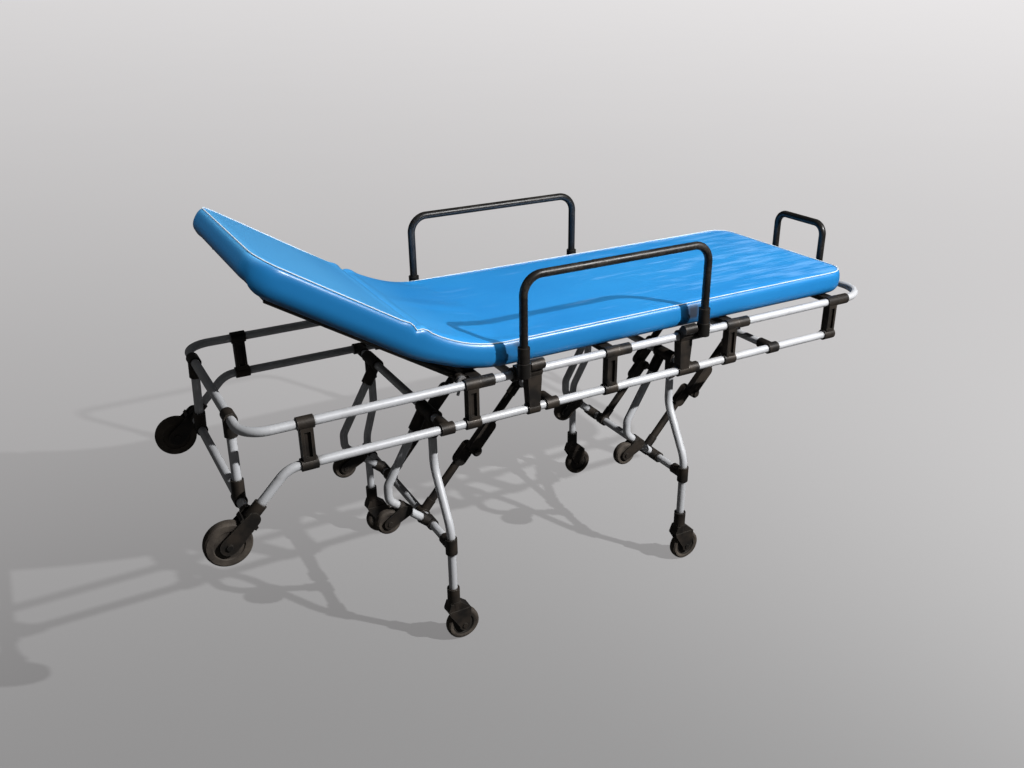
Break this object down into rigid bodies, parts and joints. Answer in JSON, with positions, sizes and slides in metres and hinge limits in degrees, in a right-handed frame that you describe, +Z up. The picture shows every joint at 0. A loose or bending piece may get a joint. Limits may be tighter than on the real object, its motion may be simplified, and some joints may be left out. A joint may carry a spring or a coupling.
{
  "type": "stretcher trolley",
  "caption": "Self-loading stretcher trolley: tube frame on folding leg frames with swivel castors, load wheels at the head end, tilting backrest, fold-down side rails and one padded mattress.",
  "frame": {"origin": "on the floor, under the middle of the whole trolley's box", "axes": "+X to the foot end, +Y to the patient's left, +Z up"},
  "size_m": [2.0025, 0.693, 1.1132],
  "materials": {
    "tube_aluminium": "satin",
    "cast_fitting": "matte",
    "black_tube": "satin",
    "black_casting": "matte",
    "tyre_rubber": "matte",
    "wheel_hub": "matte",
    "mattress_vinyl": "gloss",
    "deck_board": "satin"
  },
  "bodies": {
    "frame": {"upper_rails": "tube_aluminium", "foot_bow": "tube_aluminium", "lower_rails": "tube_aluminium", "head_frame_tubes": "tube_aluminium", "head_tees": "cast_fitting", "frame_struts": "cast_fitting", "rail_sleeves": "cast_fitting", "side_rail_brackets": "cast_fitting", "pivot_cross_tubes": "tube_aluminium", "pivot_tees": "cast_fitting", "deck_bearers": "cast_fitting", "deck_panel": "deck_board", "load_wheel_forks": "cast_fitting", "mattress_seat": "mattress_vinyl"},
    "backrest": {"backrest_side_tubes": "cast_fitting", "backrest_cross_tubes": "cast_fitting", "backrest_panel": "deck_board", "backrest_hinge_pins": "tube_aluminium", "mattress_back": "mattress_vinyl"},
    "load_wheel_left_body": {"load_wheel_left": "tyre_rubber"},
    "load_wheel_right_body": {"load_wheel_right": "tyre_rubber"},
    "front_leg": {"front_leg_tubes": "tube_aluminium", "front_j_tubes": "tube_aluminium", "front_leg_castings": "cast_fitting", "front_crossbar": "tube_aluminium", "front_aux_forks": "cast_fitting"},
    "front_upper_link": {"front_brace_upper": "cast_fitting"},
    "front_lower_link": {"front_brace_lower": "cast_fitting"},
    "front_aux_left": {"front_aux_wheel_left": "tyre_rubber"},
    "front_aux_right": {"front_aux_wheel_right": "tyre_rubber"},
    "castor_front_left": {"castor_fork_front_left": "cast_fitting"},
    "castor_wheel_front_left": {"castor_tyre_front_left": "tyre_rubber", "castor_hub_front_left": "wheel_hub"},
    "castor_front_right": {"castor_fork_front_right": "cast_fitting"},
    "castor_wheel_front_right": {"castor_tyre_front_right": "tyre_rubber", "castor_hub_front_right": "wheel_hub"},
    "rear_leg": {"rear_leg_tubes": "tube_aluminium", "rear_j_tubes": "tube_aluminium", "rear_leg_castings": "cast_fitting", "rear_crossbar": "tube_aluminium", "rear_aux_forks": "cast_fitting"},
    "rear_upper_link": {"rear_brace_upper": "cast_fitting"},
    "rear_lower_link": {"rear_brace_lower": "cast_fitting"},
    "rear_aux_left": {"rear_aux_wheel_left": "tyre_rubber"},
    "rear_aux_right": {"rear_aux_wheel_right": "tyre_rubber"},
    "castor_rear_left": {"castor_fork_rear_left": "cast_fitting"},
    "castor_wheel_rear_left": {"castor_tyre_rear_left": "tyre_rubber", "castor_hub_rear_left": "wheel_hub"},
    "castor_rear_right": {"castor_fork_rear_right": "cast_fitting"},
    "castor_wheel_rear_right": {"castor_tyre_rear_right": "tyre_rubber", "castor_hub_rear_right": "wheel_hub"},
    "guard_left": {"side_rail_left": "black_tube", "side_rail_hinges_left": "black_casting"},
    "guard_right": {"side_rail_right": "black_tube", "side_rail_hinges_right": "black_casting"},
    "push_handle": {"foot_handle": "black_tube", "foot_handle_sleeves": "black_casting"}
  },
  "joints": [
    {"name": "backrest_tilt", "type": "hinge", "parent": "frame", "child": "backrest", "pos_m": [-0.35525, 0, 0.727], "axis": [0, 1, 0], "range_deg": [-32, 43]},
    {"name": "load_wheel_roll_left", "type": "hinge", "parent": "frame", "child": "load_wheel_left_body", "pos_m": [-0.94725, 0.3, 0.479], "axis": [0, 1, 0], "continuous": true},
    {"name": "load_wheel_roll_right", "type": "hinge", "parent": "frame", "child": "load_wheel_right_body", "pos_m": [-0.94725, -0.3, 0.479], "axis": [0, 1, 0], "continuous": true},
    {"name": "front_leg_fold", "type": "hinge", "parent": "frame", "child": "front_leg", "pos_m": [-0.41125, 0, 0.624], "axis": [0, -1, 0], "range_deg": [0, 80]},
    {"name": "front_brace_upper_swing", "type": "hinge", "parent": "frame", "child": "front_upper_link", "pos_m": [-0.12125, 0, 0.624], "axis": [0, -1, 0], "range_deg": [-9.3, 0]},
    {"name": "front_brace_lower_swing", "type": "hinge", "parent": "front_leg", "child": "front_lower_link", "pos_m": [-0.41125, 0, 0.29], "axis": [0, -1, 0], "range_deg": [0, 79]},
    {"name": "front_aux_roll_left", "type": "hinge", "parent": "front_leg", "child": "front_aux_left", "pos_m": [-0.52825, 0.167, 0.329], "axis": [0, 1, 0], "continuous": true},
    {"name": "front_aux_roll_right", "type": "hinge", "parent": "front_leg", "child": "front_aux_right", "pos_m": [-0.52825, -0.167, 0.329], "axis": [0, 1, 0], "continuous": true},
    {"name": "castor_swivel_front_left", "type": "hinge", "parent": "front_leg", "child": "castor_front_left", "pos_m": [-0.41125, 0.296, 0.11], "axis": [0, 0, 1], "continuous": true},
    {"name": "castor_roll_front_left", "type": "hinge", "parent": "castor_front_left", "child": "castor_wheel_front_left", "pos_m": [-0.38925, 0.296, 0.045], "axis": [0, 1, 0], "continuous": true},
    {"name": "castor_swivel_front_right", "type": "hinge", "parent": "front_leg", "child": "castor_front_right", "pos_m": [-0.41125, -0.296, 0.11], "axis": [0, 0, 1], "continuous": true},
    {"name": "castor_roll_front_right", "type": "hinge", "parent": "castor_front_right", "child": "castor_wheel_front_right", "pos_m": [-0.38925, -0.296, 0.045], "axis": [0, 1, 0], "continuous": true},
    {"name": "rear_leg_fold", "type": "hinge", "parent": "frame", "child": "rear_leg", "pos_m": [0.32575, 0, 0.624], "axis": [0, -1, 0], "range_deg": [0, 80]},
    {"name": "rear_brace_upper_swing", "type": "hinge", "parent": "frame", "child": "rear_upper_link", "pos_m": [0.61575, 0, 0.624], "axis": [0, -1, 0], "range_deg": [-9.3, 0]},
    {"name": "rear_brace_lower_swing", "type": "hinge", "parent": "rear_leg", "child": "rear_lower_link", "pos_m": [0.32575, 0, 0.29], "axis": [0, -1, 0], "range_deg": [0, 79]},
    {"name": "rear_aux_roll_left", "type": "hinge", "parent": "rear_leg", "child": "rear_aux_left", "pos_m": [0.20875, 0.167, 0.329], "axis": [0, 1, 0], "continuous": true},
    {"name": "rear_aux_roll_right", "type": "hinge", "parent": "rear_leg", "child": "rear_aux_right", "pos_m": [0.20875, -0.167, 0.329], "axis": [0, 1, 0], "continuous": true},
    {"name": "castor_swivel_rear_left", "type": "hinge", "parent": "rear_leg", "child": "castor_rear_left", "pos_m": [0.32575, 0.296, 0.11], "axis": [0, 0, 1], "continuous": true},
    {"name": "castor_roll_rear_left", "type": "hinge", "parent": "castor_rear_left", "child": "castor_wheel_rear_left", "pos_m": [0.34775, 0.296, 0.045], "axis": [0, 1, 0], "continuous": true},
    {"name": "castor_swivel_rear_right", "type": "hinge", "parent": "rear_leg", "child": "castor_rear_right", "pos_m": [0.32575, -0.296, 0.11], "axis": [0, 0, 1], "continuous": true},
    {"name": "castor_roll_rear_right", "type": "hinge", "parent": "castor_rear_right", "child": "castor_wheel_rear_right", "pos_m": [0.34775, -0.296, 0.045], "axis": [0, 1, 0], "continuous": true},
    {"name": "side_rail_fold_left", "type": "hinge", "parent": "frame", "child": "guard_left", "pos_m": [0.05825, 0.3, 0.725], "axis": [-1, 0, 0], "range_deg": [0, 140]},
    {"name": "side_rail_fold_right", "type": "hinge", "parent": "frame", "child": "guard_right", "pos_m": [0.05825, -0.3, 0.725], "axis": [1, 0, 0], "range_deg": [0, 140]},
    {"name": "foot_handle_fold", "type": "hinge", "parent": "frame", "child": "push_handle", "pos_m": [0.98575, 0, 0.725], "axis": [0, 1, 0], "range_deg": [0, 95]}
  ],
  "couplings": [
    {"joint": "front_brace_upper_swing", "follows": "front_leg_fold", "ratio": -0.115},
    {"joint": "front_brace_lower_swing", "follows": "front_leg_fold", "ratio": 0.98587},
    {"joint": "rear_brace_upper_swing", "follows": "rear_leg_fold", "ratio": -0.115},
    {"joint": "rear_brace_lower_swing", "follows": "rear_leg_fold", "ratio": 0.98587}
  ]
}
